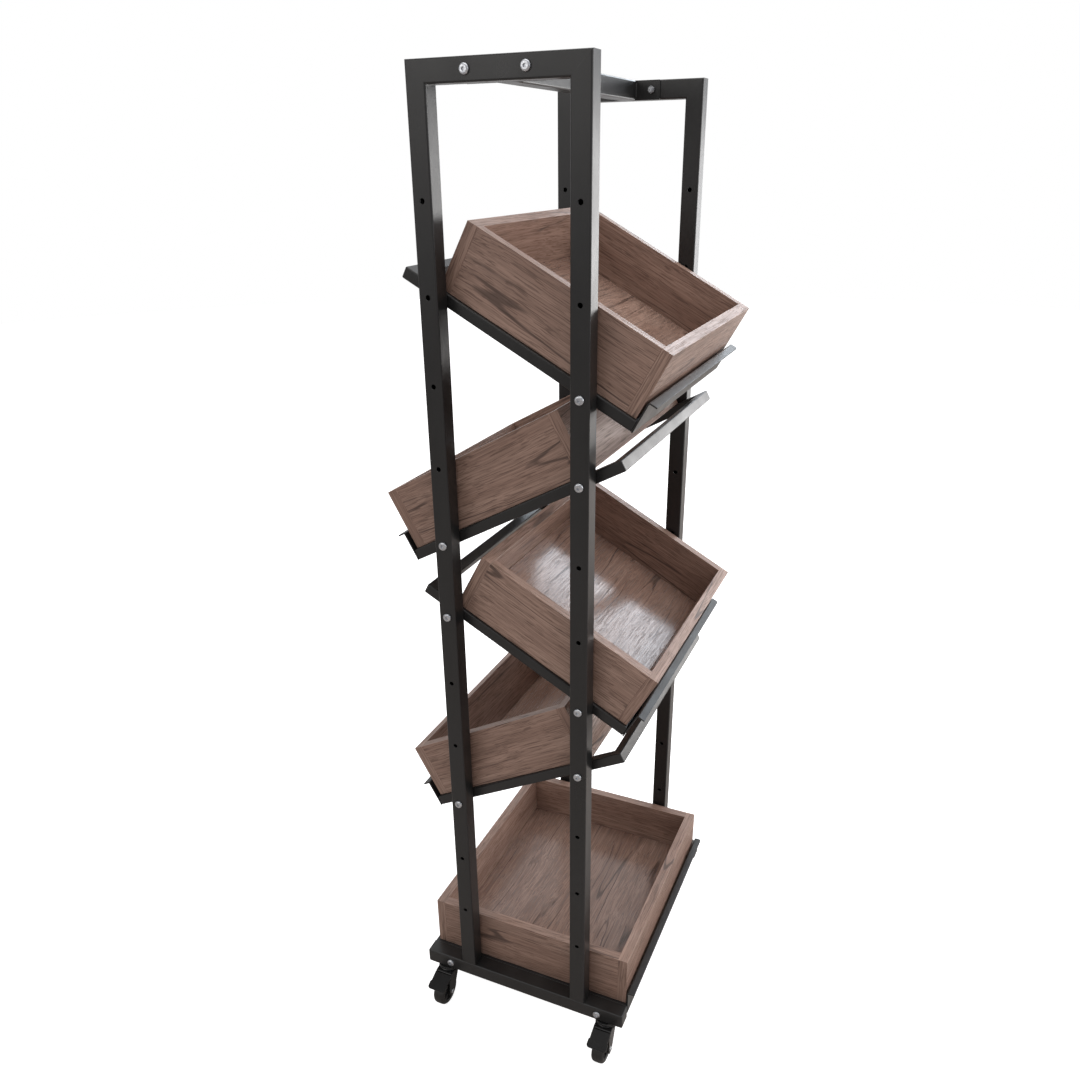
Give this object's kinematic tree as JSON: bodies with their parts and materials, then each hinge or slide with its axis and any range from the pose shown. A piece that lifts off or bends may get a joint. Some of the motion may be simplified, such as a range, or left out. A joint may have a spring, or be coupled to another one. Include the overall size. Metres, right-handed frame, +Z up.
{
  "type": "newspaper rack",
  "caption": "Narrow rolling newspaper rack: square-tube end frames, tilted tube cradles alternating left and right with loose open wooden trays, and a flat base tray on swivel casters.",
  "frame": {"origin": "on the floor under the middle of the rack", "axes": "+Z up, X across the narrow side, +Y from the front end frame with the brake pedals to the rear one"},
  "size_m": [0.3972, 0.5133, 1.422],
  "materials": {
    "black_frame": "satin black powder coat with a fine texture",
    "walnut_board": "brown-grey wood-grain laminate with a satin face",
    "zinc_bolts": "bright zinc plated steel",
    "caster_steel": "black coated pressed steel",
    "wheel_rubber": "black rubber tread, slightly worn",
    "pedal_nylon": "black moulded nylon"
  },
  "bodies": {
    "frame": {"front_left_upright": "black_frame", "front_right_upright": "black_frame", "front_top_bar": "black_frame", "front_bottom_bar": "black_frame", "rear_left_upright": "black_frame", "rear_right_upright": "black_frame", "rear_top_bar": "black_frame", "rear_bottom_bar": "black_frame", "top_spreader_bar": "black_frame", "cradle_1": "black_frame", "cradle_2": "black_frame", "cradle_3": "black_frame", "cradle_4": "black_frame", "base_cradle": "black_frame", "front_bolt_1_low": "zinc_bolts", "front_bolt_2_low": "zinc_bolts", "front_bolt_2_high": "zinc_bolts", "front_bolt_3_low": "zinc_bolts", "front_bolt_3_high": "zinc_bolts", "front_bolt_4_low": "zinc_bolts", "front_bolt_4_high": "zinc_bolts", "front_base_bolt_left": "zinc_bolts", "front_spreader_bolt_left": "zinc_bolts", "front_base_bolt_right": "zinc_bolts", "front_spreader_bolt_right": "zinc_bolts", "rear_bolt_1_low": "zinc_bolts", "rear_bolt_2_low": "zinc_bolts", "rear_bolt_2_high": "zinc_bolts", "rear_bolt_3_low": "zinc_bolts", "rear_bolt_3_high": "zinc_bolts", "rear_bolt_4_low": "zinc_bolts", "rear_bolt_4_high": "zinc_bolts", "rear_base_bolt_left": "zinc_bolts", "rear_spreader_bolt_left": "zinc_bolts", "rear_base_bolt_right": "zinc_bolts", "rear_spreader_bolt_right": "zinc_bolts", "front_left_mount": "caster_steel", "front_right_mount": "caster_steel", "rear_left_mount": "caster_steel", "rear_right_mount": "caster_steel"},
    "tray_1": {"tray_1_boards": "walnut_board", "tray_1_floor": "walnut_board"},
    "tray_2": {"tray_2_boards": "walnut_board", "tray_2_floor": "walnut_board"},
    "tray_3": {"tray_3_boards": "walnut_board", "tray_3_floor": "walnut_board"},
    "tray_4": {"tray_4_boards": "walnut_board", "tray_4_floor": "walnut_board"},
    "tray_5": {"tray_5_boards": "walnut_board", "tray_5_floor": "walnut_board"},
    "front_left_swivel": {"front_left_fork": "caster_steel"},
    "front_left_roller": {"front_left_wheel": "wheel_rubber"},
    "front_left_pedal": {"front_left_brake_pedal": "pedal_nylon"},
    "front_right_swivel": {"front_right_fork": "caster_steel"},
    "front_right_roller": {"front_right_wheel": "wheel_rubber"},
    "front_right_pedal": {"front_right_brake_pedal": "pedal_nylon"},
    "rear_left_swivel": {"rear_left_fork": "caster_steel"},
    "rear_left_roller": {"rear_left_wheel": "wheel_rubber"},
    "rear_right_swivel": {"rear_right_fork": "caster_steel"},
    "rear_right_roller": {"rear_right_wheel": "wheel_rubber"}
  },
  "joints": [
    {"name": "tray_1_lift", "type": "slide", "parent": "frame", "child": "tray_1", "axis": [0.4793, 0, 0.8776], "range_m": [0, 0.1]},
    {"name": "tray_2_lift", "type": "slide", "parent": "frame", "child": "tray_2", "axis": [-0.4793, 0, 0.8776], "range_m": [0, 0.05]},
    {"name": "tray_3_lift", "type": "slide", "parent": "frame", "child": "tray_3", "axis": [0.4793, 0, 0.8776], "range_m": [0, 0.05]},
    {"name": "tray_4_lift", "type": "slide", "parent": "frame", "child": "tray_4", "axis": [-0.4793, 0, 0.8776], "range_m": [0, 0.035]},
    {"name": "tray_5_lift", "type": "slide", "parent": "frame", "child": "tray_5", "axis": [0, 0, 1], "range_m": [0, 0.1]},
    {"name": "front_left_swivel_turn", "type": "hinge", "parent": "frame", "child": "front_left_swivel", "pos_m": [-0.144, -0.2125, 0.0615], "axis": [0, 0, 1], "continuous": true},
    {"name": "front_left_wheel_spin", "type": "hinge", "parent": "front_left_swivel", "child": "front_left_roller", "pos_m": [-0.144, -0.2305, 0.025], "axis": [1, 0, 0], "continuous": true},
    {"name": "front_left_pedal_press", "type": "hinge", "parent": "front_left_swivel", "child": "front_left_pedal", "pos_m": [-0.144, -0.2345, 0.0545], "axis": [1, 0, 0], "range_deg": [0, 9]},
    {"name": "front_right_swivel_turn", "type": "hinge", "parent": "frame", "child": "front_right_swivel", "pos_m": [0.144, -0.2125, 0.0615], "axis": [0, 0, 1], "continuous": true},
    {"name": "front_right_wheel_spin", "type": "hinge", "parent": "front_right_swivel", "child": "front_right_roller", "pos_m": [0.144, -0.2305, 0.025], "axis": [1, 0, 0], "continuous": true},
    {"name": "front_right_pedal_press", "type": "hinge", "parent": "front_right_swivel", "child": "front_right_pedal", "pos_m": [0.144, -0.2345, 0.0545], "axis": [1, 0, 0], "range_deg": [0, 9]},
    {"name": "rear_left_swivel_turn", "type": "hinge", "parent": "frame", "child": "rear_left_swivel", "pos_m": [-0.144, 0.2125, 0.0615], "axis": [0, 0, 1], "continuous": true},
    {"name": "rear_left_wheel_spin", "type": "hinge", "parent": "rear_left_swivel", "child": "rear_left_roller", "pos_m": [-0.144, 0.2305, 0.025], "axis": [1, 0, 0], "continuous": true},
    {"name": "rear_right_swivel_turn", "type": "hinge", "parent": "frame", "child": "rear_right_swivel", "pos_m": [0.144, 0.2125, 0.0615], "axis": [0, 0, 1], "continuous": true},
    {"name": "rear_right_wheel_spin", "type": "hinge", "parent": "rear_right_swivel", "child": "rear_right_roller", "pos_m": [0.144, 0.2305, 0.025], "axis": [1, 0, 0], "continuous": true}
  ]
}
